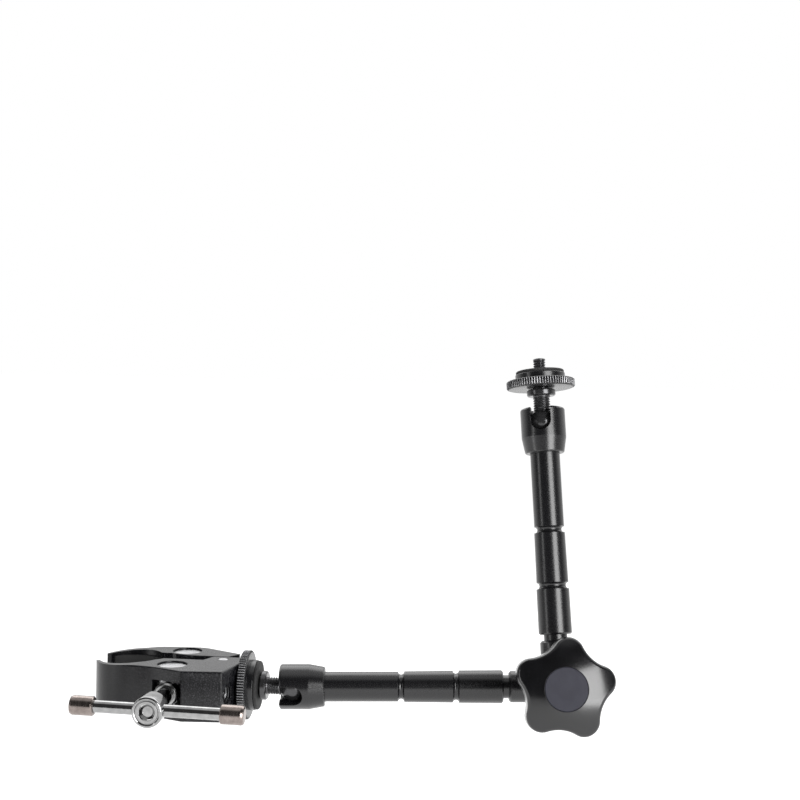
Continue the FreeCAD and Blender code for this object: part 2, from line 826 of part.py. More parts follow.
def make_stud(label, place, screw_length):
    """Turned stud: spigot in the ball, neck, shank through nut and wheel, relief and end screw."""
    neck_start = s.ball_flat + s.running_gap
    shank_end = wheel_set_end - s.shank_set_back
    relief_end = shank_end + s.relief_length
    reach = wheel_set_end + screw_length
    edge = s.thread_edge
    corners = [
        (-s.spigot_depth, 0),
        (-s.spigot_depth, s.spigot_radius),
        (neck_start, s.spigot_radius),
        (neck_start, s.neck_radius),
        (s.neck_length, s.neck_radius),
        (s.neck_length, s.stud_shank_radius),
        (shank_end, s.stud_shank_radius),
        (shank_end, s.relief_radius),
        (relief_end, s.relief_radius),
        (relief_end, s.thread_radius),
        (reach - edge, s.thread_radius),
        (reach, s.thread_radius - edge),
        (reach, 0),
    ]
    body = turned_body(label, corners)
    body.Placement = place
    return body


def make_nut(label, place):
    corners = ring_corners(s.neck_length, s.nut_thickness, s.nut_radius, s.stud_shank_radius, s.nut_edge)
    body = turned_body(label, corners)
    body.Placement = place
    return body


def make_wheel(label, place, start, outward):
    """Knurled disc with a hub; outward is 1 where the hub faces away from the ball."""
    bore_radius = s.stud_shank_radius + s.running_gap
    edge = s.wheel_edge
    if outward > 0:
        disc_start = start
        disc_end = start + s.wheel_thickness
        hub_end = disc_end + s.hub_thickness
        corners = [(disc_start, bore_radius), (disc_start, s.wheel_radius - edge),
                   (disc_start + edge, s.wheel_radius), (disc_end - edge, s.wheel_radius),
                   (disc_end, s.wheel_radius - edge), (disc_end, s.hub_radius),
                   (hub_end, s.hub_radius), (hub_end, bore_radius)]
    else:
        disc_start = start + s.hub_thickness
        disc_end = disc_start + s.wheel_thickness
        corners = [(start, bore_radius), (start, s.hub_radius), (disc_start, s.hub_radius),
                   (disc_start, s.wheel_radius - edge), (disc_start + edge, s.wheel_radius),
                   (disc_end - edge, s.wheel_radius), (disc_end, s.wheel_radius - edge),
                   (disc_end, bore_radius)]
    body = turned_body(label, corners)
    body.Placement = place
    return body


def make_wheel_pad(label, place, start):
    inner = s.stud_shank_radius + s.running_gap
    corners = ring_corners(start, s.wheel_pad_thickness, s.wheel_pad_radius, inner, s.wheel_pad_edge)
    body = turned_body(label, corners)
    body.Placement = place
    return body


def make_stud_sets():
    make_ball("lower_ball", LOWER_STUD)
    make_stud("lower_stud", LOWER_STUD, lower_thread_length)
    make_nut("lower_stud_nut", LOWER_STUD)
    make_wheel_pad("lower_wheel_pad", LOWER_STUD, wheel_start)
    make_wheel("lower_lock_wheel", LOWER_STUD, wheel_start + s.wheel_pad_thickness, -1)
    make_ball("upper_ball", UPPER_STUD)
    make_stud("upper_stud", UPPER_STUD, s.camera_thread_length)
    make_nut("upper_stud_nut", UPPER_STUD)
    make_wheel("upper_lock_wheel", UPPER_STUD, wheel_start, 1)
    make_wheel_pad("upper_wheel_pad", UPPER_STUD, wheel_start + wheel_length)


# Arms, along X from the ball's centre to the elbow's axis
def make_socket(label, place, slot_turn):
    """Ball socket with a round mouth and a slot that lets the stud swing to one side."""
    body = new_body(label)
    mouth = -s.socket_mouth
    edge = s.socket_edge
    corners = [
        (mouth, s.mouth_radius),
        (mouth, s.socket_radius - edge),
        (mouth + edge / 3, s.socket_radius - edge / 3),
        (mouth + edge, s.socket_radius),
        (s.socket_taper, s.socket_radius),
        (s.socket_rear - edge / 2, s.socket_rear_radius),
        (s.socket_rear, s.socket_rear_radius - edge / 2),
        (s.socket_rear, s.tube_radius),
        (0, s.tube_radius),
        (0, s.mouth_radius),
    ]
    turn_outline(body, corners)
    ball_cut(body, s.tube_radius, (0, 0, 0))
    half_slot = s.slot_width / 2
    slot_centre = s.slot_depth - s.socket_mouth - half_slot
    overshoot = s.socket_radius * TOOL_OVERSHOOT
    bore(body, half_slot, overshoot, (slot_centre, 0, 0), -Y_AXIS)
    box_cut(body, s.slot_depth, overshoot, s.slot_width, (slot_centre - s.slot_depth, -overshoot, -half_slot))
    body.Placement = place * turn(X_AXIS, slot_turn.value)
    return body


def make_ball_seat(label, place):
    """Cup between the ball and the push rod, round inside and outside."""
    outer = doc.addObject("Part::Sphere", label + "_outer")
    inner = doc.addObject("Part::Sphere", label + "_inner")
    limit = doc.addObject("Part::Cylinder", label + "_limit")
    bind(outer, "Radius", seat_outer_radius)
    bind(inner, "Radius", seat_inner_radius)
    bind(limit, "Radius", s.seat_reach_radius)
    bind(limit, "Height", seat_outer_radius)
    place_along(limit, (s.seat_rim, 0, 0), X_AXIS)
    cup = doc.addObject("Part::MultiCommon", label + "_cup")
    cup.Shapes = [outer, limit]
    seat = doc.addObject("Part::Cut", label)
    seat.Base = cup
    seat.Tool = inner
    seat.Label = label
    doc.recompute()
    seat.Placement = place
    NODES.append(seat)
    return seat


def make_tube(label, place):
    """Tube in three lengths, each a little thicker, with a round groove between them."""
    body = new_body(label)
    rod_bore = s.rod_radius + s.running_gap
    spigot_start = tube_end - s.elbow_spigot_length
    edge = s.tube_edge
    corners = [
        (s.tube_front, rod_bore),
        (s.tube_front, s.tube_radius),
        (first_groove, s.tube_radius),
        (first_groove, s.tube_radius + s.first_step),
        (second_groove, s.tube_middle_radius),
        (second_groove, s.tube_middle_radius + s.second_step),
        (tube_end - edge, s.tube_end_radius),
        (tube_end, s.tube_end_radius - edge),
        (tube_end, s.elbow_spigot_radius),
        (spigot_start, s.elbow_spigot_radius),
        (spigot_start, rod_bore),
    ]
    turn_outline(body, corners)
    for along, radius in ((first_groove, s.tube_radius), (second_groove, s.tube_middle_radius)):
        before = volume_of(body)
        sketch = new_sketch(body, "XY_Plane")
        draw_circle(sketch, along, radius + s.groove_lift, s.groove_radius)
        groove = body.newObject("PartDesign::Groove", label + "_groove")
        groove.Profile = sketch
        groove.ReferenceAxis = (sketch, ["H_Axis"])
        groove.Angle = WHOLE_TURN
        check_change(body, before, False)
    body.Placement = place
    return body


def make_push_rod(label, place):
    """Rod from the seat to the elbow bolt's waist, hollowed at the seat's end."""
    start = seat_outer_radius - s.rod_overlap
    tip = s.arm_reach - s.bolt_waist_radius - s.running_gap * 2
    edge = s.rod_edge
    corners = [(start, 0), (start, s.rod_radius), (tip - edge, s.rod_radius),
               (tip, s.rod_radius - edge * 2), (tip, 0)]
    body = turned_body(label, corners)
    ball_cut(body, seat_outer_radius + s.running_gap, (0, 0, 0))
    body.Placement = place
    return body


def make_elbow_half(label, place, front, rear):
    """Neck and barrel of the elbow; front is the barrel's length towards the knob."""
    body = new_body(label)
    rod_bore = s.rod_radius + s.running_gap
    spigot_start = tube_end - s.elbow_spigot_length
    neck_end = tube_end + s.elbow_neck_length
    edge = s.elbow_edge
    corners = [
        (spigot_start, 0),
        (spigot_start, s.elbow_spigot_radius),
        (tube_end, s.elbow_spigot_radius),
        (tube_end, s.elbow_neck_radius),
        (neck_end, s.elbow_neck_radius),
        (neck_end, s.elbow_body_radius - edge),
        (neck_end + edge, s.elbow_body_radius),
        (s.arm_reach, s.elbow_body_radius),
        (s.arm_reach, 0),
    ]
    turn_outline(body, corners)
    boss(body, s.barrel_radius, front + rear, (s.arm_reach, rear, 0), -Y_AXIS)
    dress(body, "Chamfer", s.barrel_edge, lambda rim: is_round_edge(rim, s.barrel_radius) and rim.Closed)
    bore(body, s.bolt_radius + s.running_gap, (front + rear) * 2, (s.arm_reach, rear * 2, 0), -Y_AXIS)
    bore(body, rod_bore, s.arm_reach, (0, 0, 0), X_AXIS)
    body.Placement = place
    return body


def make_arms():
    mate = s.arm_stack / 2 - half_disc
    make_socket("lower_socket", LOWER_ARM, s.lower_slot_turn)
    make_ball_seat("lower_ball_seat", LOWER_ARM)
    make_tube("lower_tube", LOWER_ARM)
    make_push_rod("lower_push_rod", LOWER_ARM)
    make_elbow_half("lower_elbow_half", LOWER_ARM, mate, s.barrel_rear)
    make_socket("upper_socket", UPPER_ARM, s.upper_slot_turn)
    make_ball_seat("upper_ball_seat", UPPER_ARM)
    make_tube("upper_tube", UPPER_ARM)
    make_push_rod("upper_push_rod", UPPER_ARM)
    make_elbow_half("upper_elbow_half", UPPER_ARM, s.barrel_front, mate)


# Elbow bolt and star knob, along X from the lower arm's axis towards the knob
def make_elbow_disc():
    start = s.arm_stack / 2 - half_disc
    end = start + s.disc_thickness
    inner = s.bolt_radius + s.running_gap
    corners = [(start, inner), (start, s.barrel_radius), (end, s.barrel_radius), (end, inner)]
    body = turned_body("elbow_disc", corners)
    body.Placement = BOLT
    return body


def waist_corners(middle):
    """Two cones that meet in a narrow waist."""
    return [
        (middle - s.bolt_cone_half, s.bolt_radius),
        (middle - s.bolt_waist_half, s.bolt_waist_radius),
        (middle + s.bolt_waist_half, s.bolt_waist_radius),
        (middle + s.bolt_cone_half, s.bolt_radius),
    ]


def cut_bolt_socket(body, level):
    """Six-sided socket in the bolt's head."""
    before = volume_of(body)
    corners = []
    for index in range(HEX_SIDES):
        angle = math.radians(WHOLE_TURN / HEX_SIDES * index)
        corners.append((s.bolt_socket_radius * math.cos(angle), s.bolt_socket_radius * math.sin(angle)))
    pocket = body.newObject("PartDesign::Pocket", body.Name + "_socket")
    pocket.Profile = draw_polygon(new_sketch(body, "YZ_Plane", level), corners)
    pocket.Reversed = True
    bind(pocket, "Length", s.bolt_head_thickness * HEX_DEPTH_SHARE)
    check_change(body, before, False)


def make_elbow_bolt():
    """Bolt with two cone waists that push the rods outward as the knob draws it forward."""
    head_end = -s.barrel_rear
    head_start = head_end - s.bolt_head_thickness
    thread_end = knob_back + s.bolt_engagement
    edge = s.bolt_edge
    corners = [
        (head_start, 0),
        (head_start, s.bolt_head_radius - edge * 2),
        (head_start + edge, s.bolt_head_radius),
        (head_end, s.bolt_head_radius),
        (head_end, s.bolt_radius),
        *waist_corners(as_size(0)),
        *waist_corners(s.arm_stack),
        (knob_back, s.bolt_radius),
        (knob_back, s.bolt_thread_radius),
        (thread_end - edge, s.bolt_thread_radius),
        (thread_end, s.bolt_thread_radius - edge),
        (thread_end, 0),
    ]
    body = turned_body("elbow_bolt", corners)
    cut_bolt_socket(body, head_start)
    body.Placement = BOLT
    return body


def make_elbow_washer():
    inner = s.bolt_radius + s.running_gap
    corners = ring_corners(upper_front, s.washer_thickness, s.washer_radius, inner, s.washer_edge)
    body = turned_body("elbow_washer", corners)
    body.Placement = BOLT
    return body


def make_knob_insert():
    inner = s.bolt_thread_radius + s.running_gap
    end = knob_back + s.insert_length
    bottom = end - s.insert_end_wall
    corners = [(knob_back, inner), (knob_back, s.insert_radius), (end, s.insert_radius), (end, 0),
               (bottom, 0), (bottom, inner)]
    body = turned_body("knob_insert", corners)
    body.Placement = BOLT
    return body


def knob_outline(lift):
    """Closed wire of lobes and valleys, every arc tangent to the next."""
    lobe = s.knob_lobe_radius.value
    lobe_centre = s.knob_radius.value - lobe
    valley_floor = s.knob_valley_radius.value
    half_step = math.radians(WHOLE_TURN / KNOB_LOBES / 2)
    # The valley's radius follows from its arc touching both neighbouring lobes
    toward_valley = lobe_centre * math.cos(half_step)
    spare = lobe_centre ** 2 + valley_floor ** 2 - 2 * valley_floor * toward_valley - lobe ** 2
    valley = spare / (2 * (lobe - valley_floor + toward_valley))
    valley_centre = valley_floor + valley

    def at(radius, degrees):
        angle = math.radians(degrees)
        return Vector(lift, radius * math.cos(angle), radius * math.sin(angle))

    step = WHOLE_TURN / KNOB_LOBES
    edges = []
    for index in range(KNOB_LOBES):
        middle = KNOB_FIRST_LOBE + index * step
        centre = at(lobe_centre, middle)
        touches = []
        for side in (-1, 1):
            far_centre = at(valley_centre, middle + side * step / 2)
            touches.append(centre + (far_centre - centre).normalize() * lobe)
        edges.append(Part.Arc(touches[0], at(s.knob_radius.value, middle), touches[1]).toShape())
        next_centre = at(lobe_centre, middle + step)
        valley_middle = at(valley_centre, middle + step / 2)
        next_touch = next_centre + (valley_middle - next_centre).normalize() * lobe
        valley_point = at(valley_floor, middle + step / 2)
        edges.append(Part.Arc(touches[1], valley_point, next_touch).toShape())
    return Part.Wire(Part.__sortEdges__(edges))


def dome_drop(radius):
    """How far the dome falls from its top at a distance from the axis."""
    dome = s.knob_dome_radius.value
    return dome - math.sqrt(dome ** 2 - radius ** 2)


def knob_star():
    """The lobed body under its dome, with both rims rounded."""
    back = (knob_back + s.knob_hub_length).value
    top = knob_front.value + dome_drop(s.knob_cap_radius.value)
    star = Part.Face(knob_outline(back)).extrude(Vector(top - back, 0, 0))
    dome_centre = Vector(top - s.knob_dome_radius.value, 0, 0)
    star = star.common(Part.makeSphere(s.knob_dome_radius.value, dome_centre))
    back_rim = [edge for edge in star.Edges if edge.BoundBox.XMax - back < 1e-6]
    star = star.makeFillet(s.knob_back_edge.value, back_rim)
    rim_level = top - dome_drop(s.knob_valley_radius.value) + 1e-3
    front_rim = [edge for edge in star.Edges if is_knob_rim(edge, back, rim_level)]
    return star.makeFillet(s.knob_edge.value, front_rim)


def is_knob_rim(edge, back, rim_level):
    """An edge between the dome and the side, which runs round and not along the knob."""
    box = edge.BoundBox
    middle = edge.valueAt((edge.FirstParameter + edge.LastParameter) / 2)
    outside = math.hypot(middle.y, middle.z) > s.knob_cap_radius.value
    round_about = math.hypot(box.YLength, box.ZLength) > s.knob_edge.value
    return outside and round_about and box.XMin > (back + rim_level) / 2 and box.XMax < rim_level


def make_knob():
    """Star knob with a domed front, a hub behind and recesses for the cap and the insert."""
    back = Vector(knob_back.value, 0, 0)
    hub_reach = (s.knob_hub_length + s.knob_back_edge * 2).value
    recess_bottom = Vector((knob_front - s.knob_cap_thickness - s.knob_cap_drop).value, 0, 0)
    hub = Part.makeCylinder(s.knob_hub_radius.value, hub_reach, back, X_AXIS)
    recess = Part.makeCylinder(s.knob_cap_radius.value, s.knob_thickness.value, recess_bottom, X_AXIS)
    insert_hole = Part.makeCylinder(s.insert_radius.value, s.insert_length.value, back, X_AXIS)
    knob = doc.addObject("Part::Feature", "knob")
    knob.Label = "knob"
    knob.Shape = knob_star().fuse(hub).cut(recess).cut(insert_hole).removeSplitter()
    knob.Placement = BOLT
    NODES.append(knob)
    return knob


def make_knob_cap():
    """Flat cap, set a little below the rim of its recess."""
    end = knob_front - s.knob_cap_drop
    start = end - s.knob_cap_thickness
    edge = s.knob_cap_edge
    corners = [(start, 0), (start, s.knob_cap_radius), (end - edge, s.knob_cap_radius),
               (end, s.knob_cap_radius - edge), (end, 0)]
    body = turned_body("knob_cap", corners)
    body.Placement = BOLT
    return body


def make_clamp():
    make_front_jaw()
    make_rear_jaw()
    make_jaw_pad("front_jaw_pad", FRONT_PAD_MIDDLE, s.front_pad_angle)
    make_jaw_pad("rear_jaw_pad", REAR_PAD_MIDDLE, s.rear_pad_angle)
    make_hinge_pin()
    make_trunnion("front_trunnion", -1)
    make_trunnion("rear_trunnion", 1)
    make_clamp_screw()
    make_screw_collar()
    make_tee_bar()
    make_tee_cap("tee_cap_left", -1)
    make_tee_cap("tee_cap_right", 1)


def make_elbow():
    make_elbow_disc()
    make_elbow_bolt()
    make_elbow_washer()
    make_knob_insert()
    make_knob()
    make_knob_cap()


def check_document():
    for thing in doc.Objects:
        for word in ("Invalid", "Error"):
            if word in thing.State:
                raise RuntimeError(f"{thing.Label} is {word}")
    for node in NODES:
        shape = node.Shape
        if shape.isNull() or not shape.isValid() or len(shape.Solids) != 1:
            raise RuntimeError(f"{node.Label}: {len(shape.Solids)} solids, valid {shape.isValid()}")


def write_parts():
    os.makedirs("parts", exist_ok=True)
    for node in NODES:
        node.Shape.exportStep(f"parts/{node.Label}.step")
        print(f"{node.Label}: {node.Shape.Volume:.1f} cubic mm")


make_clamp()
make_stud_sets()
make_arms()
make_elbow()
doc.recompute()
check_document()
write_parts()
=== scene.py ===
import json
import math

import bpy
from mathutils import Matrix, Vector

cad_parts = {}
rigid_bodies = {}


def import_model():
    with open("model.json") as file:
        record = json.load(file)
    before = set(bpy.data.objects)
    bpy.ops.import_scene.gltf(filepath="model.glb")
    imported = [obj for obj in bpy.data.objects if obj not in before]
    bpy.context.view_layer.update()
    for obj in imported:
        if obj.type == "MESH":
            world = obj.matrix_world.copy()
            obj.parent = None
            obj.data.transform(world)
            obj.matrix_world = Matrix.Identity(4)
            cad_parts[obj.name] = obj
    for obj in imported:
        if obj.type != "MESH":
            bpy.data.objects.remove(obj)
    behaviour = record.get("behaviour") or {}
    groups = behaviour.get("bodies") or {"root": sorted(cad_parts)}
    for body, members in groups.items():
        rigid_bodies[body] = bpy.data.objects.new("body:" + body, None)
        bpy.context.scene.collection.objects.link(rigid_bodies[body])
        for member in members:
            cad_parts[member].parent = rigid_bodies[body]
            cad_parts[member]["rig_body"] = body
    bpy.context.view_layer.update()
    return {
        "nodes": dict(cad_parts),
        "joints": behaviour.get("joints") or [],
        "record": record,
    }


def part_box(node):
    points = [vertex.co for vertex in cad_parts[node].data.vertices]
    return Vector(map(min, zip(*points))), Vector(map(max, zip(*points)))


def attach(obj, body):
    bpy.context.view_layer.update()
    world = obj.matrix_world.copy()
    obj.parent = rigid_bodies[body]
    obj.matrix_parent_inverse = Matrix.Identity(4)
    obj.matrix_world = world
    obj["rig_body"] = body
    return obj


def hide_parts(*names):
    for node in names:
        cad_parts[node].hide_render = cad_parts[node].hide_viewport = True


# Looks of an articulating friction arm on a rail clamp, in metres, in the frame of its solids.
# Most solids keep their shapes and get a material. The studs, the locking wheels and the clamp screw
# are turned here, with their threads, knurls and grooved head, and the accessory hole gets a thread.

for thing in list(bpy.data.objects):
    bpy.data.objects.remove(thing)
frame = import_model()
MM = 0.001
JOINTS = {joint["name"]: joint for joint in frame["joints"]}
MOUNTS = {mount["name"]: mount for mount in frame["record"]["mounts"]}

# Places
UP = Vector((0, 0, 1))
BACK = Vector((0, 1, 0))
PARALLEL = 1e-3


def joint_point(name):
    return Vector(JOINTS[name]["pos_m"])


def joint_axis(name):
    return Vector(JOINTS[name]["axis"]).normalized()


def place_on(origin, along):
    """Matrix whose own X axis lies along a direction, with Z as near to upright as it gets."""
    x_axis = along.normalized()
    y_axis = UP.cross(x_axis)
    if y_axis.length < PARALLEL:
        y_axis = BACK.cross(x_axis)
    y_axis.normalize()
    z_axis = x_axis.cross(y_axis)
    matrix = Matrix((x_axis, y_axis, z_axis)).transposed().to_4x4()
    matrix.translation = origin
    return matrix


def span(node, place):
    """How far a solid reaches along a place's X axis, and its greatest radius about that axis."""
    inverse = place.inverted()
    points = [inverse @ vertex.co for vertex in frame["nodes"][node].data.vertices]
    along = [point.x for point in points]
    radius = max(math.hypot(point.y, point.z) for point in points)
    return min(along), max(along), radius


LOWER_BALL = joint_point("lower_ball_turn")
UPPER_BALL = joint_point("upper_ball_turn")
ELBOW_POINT = joint_point("elbow_hinge")
ELBOW_AXIS = joint_axis("elbow_hinge")
UPPER_REACH = ELBOW_POINT - UPPER_BALL
LOWER_STUD = place_on(LOWER_BALL, joint_axis("lower_wheel_turn"))
UPPER_STUD = place_on(UPPER_BALL, joint_axis("upper_wheel_turn"))
LOWER_ARM = place_on(LOWER_BALL, ELBOW_POINT - LOWER_BALL)
# The elbow's point lies off the upper arm's line, so its share along the elbow's axis is taken away
UPPER_ARM = place_on(UPPER_BALL, UPPER_REACH - ELBOW_AXIS * UPPER_REACH.dot(ELBOW_AXIS))
BOLT = place_on(ELBOW_POINT, ELBOW_AXIS)
SCREW = place_on(Vector((joint_point("screw_turn").x, 0, 0)), BACK)
BAR_MIDDLE = sum(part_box("tee_bar"), Vector()) / 2
BAR = place_on(BAR_MIDDLE, joint_axis("handle_slide"))
FRONT_TRUNNION = place_on(joint_point("front_trunnion_swivel"), UP)
REAR_TRUNNION = place_on(joint_point("rear_trunnion_swivel"), UP)
PIN = place_on(joint_point("jaw_pivot"), UP)
WORLD = Matrix.Identity(4)


# Materials
def set_input(tree, socket, value):
    """Links another node's output to an input, or sets the input's own value."""
    if isinstance(value, bpy.types.NodeSocket):
        tree.links.new(value, socket)
    else:
        socket.default_value = value


def add_node(tree, kind, inputs=None, **settings):
    node = tree.nodes.new(kind)
    for name, value in settings.items():
        setattr(node, name, value)
    for name, value in (inputs or {}).items():
        set_input(tree, node.inputs[name], value)
    return node


def local_millimetres(tree, place):
    """Coordinates in millimetres in a place's own axes, which ride with the piece."""
    inverse = place.inverted()
    source = add_node(tree, "ShaderNodeTexCoord")
    turned = add_node(tree, "ShaderNodeMapping", {
        "Vector": source.outputs["Object"], "Scale": (1 / MM,) * 3,
        "Rotation": inverse.to_euler(), "Location": inverse.translation / MM})
    return turned.outputs["Vector"]


def noise(tree, vector, scale, detail=2.0, roughness=0.5):
    node = add_node(tree, "ShaderNodeTexNoise",
                    {"Vector": vector, "Scale": scale, "Detail": detail, "Roughness": roughness})
    return node.outputs["Fac"]


def remap(tree, value, low, high, start=0.3, end=0.7):
    """A value from start to end becomes low to high; most of a noise lies between 0.3 and 0.7."""
    node = add_node(tree, "ShaderNodeMapRange",
                    {"Value": value, "From Min": start, "From Max": end, "To Min": low, "To Max": high})
    return node.outputs["Result"]


def combine(tree, operation, first, second):
    node = add_node(tree, "ShaderNodeMath", {0: first, 1: second}, operation=operation)
    return node.outputs[0]


def along_and_radius(tree, vector):
    """How far a point lies along the X axis, and its distance from that axis."""
    parts = add_node(tree, "ShaderNodeSeparateXYZ", {"Vector": vector})
    across = add_node(tree, "ShaderNodeCombineXYZ", {"Y": parts.outputs["Y"], "Z": parts.outputs["Z"]})
    radius = add_node(tree, "ShaderNodeVectorMath", {0: across.outputs[0]}, operation="LENGTH")
    return parts.outputs["X"], radius.outputs["Value"]


def turning_rings(tree, vector, pitch):
    """Noise that is the same all round the axis, for the fine rings a lathe leaves."""
    travel = combine(tree, "ADD", *along_and_radius(tree, vector))
    ring = add_node(tree, "ShaderNodeTexNoise", {"W": travel, "Scale": 1 / pitch, "Detail": 3.0},
                    noise_dimensions="1D")
    return ring.outputs["Fac"]


def mix_colours(tree, factor, first, second):
    """Mix of two colours, each a node's output or a plain red, green, blue and alpha."""
    node = add_node(tree, "ShaderNodeMix", {"Factor": factor}, data_type="RGBA")
    colour_inputs = [socket for socket in node.inputs if socket.type == "RGBA"]
    set_input(tree, colour_inputs[0], first)
    set_input(tree, colour_inputs[1], second)
    return next(socket for socket in node.outputs if socket.type == "RGBA")


def graded(tree, value, dark, light):
    """Colour that goes from dark to light over most of a noise."""
    return mix_colours(tree, remap(tree, value, 0.0, 1.0), (*dark, 1), (*light, 1))


def bump(tree, height, distance, strength, edge=0.0):
    """Fine relief, on edges softened over a small radius; distance and edge are in millimetres."""
    node = add_node(tree, "ShaderNodeBump",
                    {"Height": height, "Distance": distance * MM, "Strength": strength})
    if edge > 0:
        soft = add_node(tree, "ShaderNodeBevel", {"Radius": edge * MM}, samples=4)
        tree.links.new(soft.outputs["Normal"], node.inputs["Normal"])
    return node.outputs["Normal"]


def new_material(name, **inputs):
    """Material, its tree and its shader, with inputs named as on the shader, _ for each space."""
    material = bpy.data.materials.new(name)
    material.use_nodes = True
    shader = material.node_tree.nodes["Principled BSDF"]
    for key, value in inputs.items():
        shader.inputs[key.replace("_", " ")].default_value = value
    return material, material.node_tree, shader


def finish_material(tree, shader, colour, roughness, normal):
    tree.links.new(colour, shader.inputs["Base Color"])
    tree.links.new(roughness, shader.inputs["Roughness"])
    tree.links.new(normal, shader.inputs["Normal"])


def powder_coat(place):
    """Satin black coat with a fine grain, and specks painted paler towards the arm as a painted glint of lamp
    light.
    """
    material, tree, shader = new_material("powder_coat", Specular_IOR_Level=0.4)
    where = local_millimetres(tree, place)
    grain = noise(tree, where, scale=3.2, detail=3.0, roughness=0.6)
    specks = noise(tree, where, scale=1.7)
    cloud = noise(tree, where, scale=0.06)
    parts = add_node(tree, "ShaderNodeSeparateXYZ", {"Vector": where})
    # Painted highlight: the specks are painted paler towards the arm, standing in for the glint of lamp light
    # on that side.
    painted_glint_towards_arm = remap(tree, parts.outputs["X"], 0.15, 1.0, start=0.0, end=30.0)
    sparse = remap(tree, specks, 0.0, 1.0, start=0.5, end=0.7)
    colour = mix_colours(tree, combine(tree, "MULTIPLY", sparse, painted_glint_towards_arm),
                         (0.002, 0.002, 0.003, 1), (0.055, 0.055, 0.06, 1))
    rough = combine(tree, "ADD", remap(tree, grain, 0.22, 0.34), remap(tree, cloud, -0.03, 0.03))
    finish_material(tree, shader, colour, rough, bump(tree, specks, distance=0.05, strength=0.8, edge=0.35))
    return material


def black_anodised(place):
    """Blasted and anodised aluminium with faint turning rings under the grain."""
    material, tree, shader = new_material("black_anodised", Specular_IOR_Level=0.65)
    where = local_millimetres(tree, place)
    grain = noise(tree, where, scale=2.6, detail=3.0, roughness=0.7)
    rings = turning_rings(tree, where, pitch=0.35)
    relief = combine(tree, "ADD", grain, combine(tree, "MULTIPLY", rings, 0.15))
    colour = graded(tree, grain, (0.003, 0.003, 0.004), (0.007, 0.007, 0.008))
    rough = combine(tree, "ADD", remap(tree, grain, 0.2, 0.32), remap(tree, rings, -0.01, 0.01))
    finish_material(tree, shader, colour, rough, bump(tree, relief, distance=0.02, strength=0.8, edge=0.25))
    return material


# Radii in millimetres between which the knurl's crests get a painted highlight
CREST_HIGHLIGHT_START = 17.2
CREST_HIGHLIGHT_END = 17.45
CREST_HIGHLIGHT_COLOUR = (0.35, 0.35, 0.36, 1)
CREST_HIGHLIGHT_METALLIC = 0.8


def knurled_anodised(place):
    """The anodised finish with a painted highlight on the crests of the knurl, pale and metallic."""
    material = black_anodised(place)
    material.name = "knurled_anodised"
    tree = material.node_tree
    shader = tree.nodes["Principled BSDF"]
    _, radius = along_and_radius(tree, local_millimetres(tree, place))
    # Painted highlight: the knurl's crests are painted pale and metallic, standing in for lamp light caught
    # on them.
    crest = remap(tree, radius, 0.0, 1.0, CREST_HIGHLIGHT_START, CREST_HIGHLIGHT_END)
    dark = shader.inputs["Base Color"].links[0].from_socket
    tree.links.new(mix_colours(tree, crest, dark, CREST_HIGHLIGHT_COLOUR), shader.inputs["Base Color"])
    tree.links.new(combine(tree, "MULTIPLY", crest, CREST_HIGHLIGHT_METALLIC), shader.inputs["Metallic"])
    return material


def black_steel(place):
    """Blackened turned steel, glossier than the arms."""
    material, tree, shader = new_material("black_steel", Metallic=0.75)
    where = local_millimetres(tree, place)
    grain = noise(tree, where, scale=4.0)
    rings = turning_rings(tree, where, pitch=0.25)
    colour = graded(tree, grain, (0.06, 0.06, 0.062), (0.1, 0.1, 0.103))
    rough = combine(tree, "ADD", remap(tree, rings, 0.17, 0.25), remap(tree, grain, -0.03, 0.03))
    finish_material(tree, shader, colour, rough, bump(tree, rings, distance=0.006, strength=0.7, edge=0.15))
    return material


# Dark and light colour, lowest and highest roughness, and pitch and depth of the rings in millimetres
BRIGHT_METALS = {
    "plain_steel": ((0.5, 0.5, 0.51), (0.66, 0.66, 0.67), 0.26, 0.42, 0.3, 0.012),
    "chrome": ((0.3, 0.3, 0.3), (0.4, 0.4, 0.4), 0.09, 0.15, 0.6, 0.003),
    "nickel": ((0.23, 0.195, 0.18), (0.33, 0.285, 0.265), 0.19, 0.28, 0.45, 0.006),
    "brass_insert": ((0.55, 0.41, 0.2), (0.68, 0.52, 0.28), 0.25, 0.35, 0.3, 0.01),
}


def bright_metal(name, place):
    """Turned bright metal; the depth of its rings and its roughness tell polished from satin."""
    dark, light, lowest, highest, pitch, depth = BRIGHT_METALS[name]
    material, tree, shader = new_material(name, Metallic=1.0)
    where = local_millimetres(tree, place)
    rings = turning_rings(tree, where, pitch)
    smear = noise(tree, where, scale=0.35, detail=3.0)
    colour = graded(tree, smear, dark, light)
    rough = combine(tree, "ADD", remap(tree, rings, lowest, highest), remap(tree, smear, -0.02, 0.03))
    finish_material(tree, shader, colour, rough, bump(tree, rings, depth, strength=0.6, edge=0.2))
    return material


def grip_rubber(place):
    """Matte black rubber with an open grain."""
    material, tree, shader = new_material("grip_rubber")
    where = local_millimetres(tree, place)
    grain = noise(tree, where, scale=2.0, detail=4.0, roughness=0.65)
    colour = graded(tree, grain, (0.012, 0.012, 0.012), (0.024, 0.024, 0.024))
    rough = remap(tree, grain, 0.62, 0.8)
    finish_material(tree, shader, colour, rough, bump(tree, grain, distance=0.03, strength=0.8, edge=0.2))
    return material


def friction_fibre(place):
    """Dark pressed fibre of the friction disc."""
    material, tree, shader = new_material("friction_fibre")
    where = local_millimetres(tree, place)
    fibres = noise(tree, where, scale=3.0, detail=5.0, roughness=0.7)
    colour = graded(tree, fibres, (0.025, 0.023, 0.02), (0.07, 0.065, 0.058))
    rough = remap(tree, fibres, 0.7, 0.9)
    finish_material(tree, shader, colour, rough, bump(tree, fibres, distance=0.04, strength=0.8))
    return material


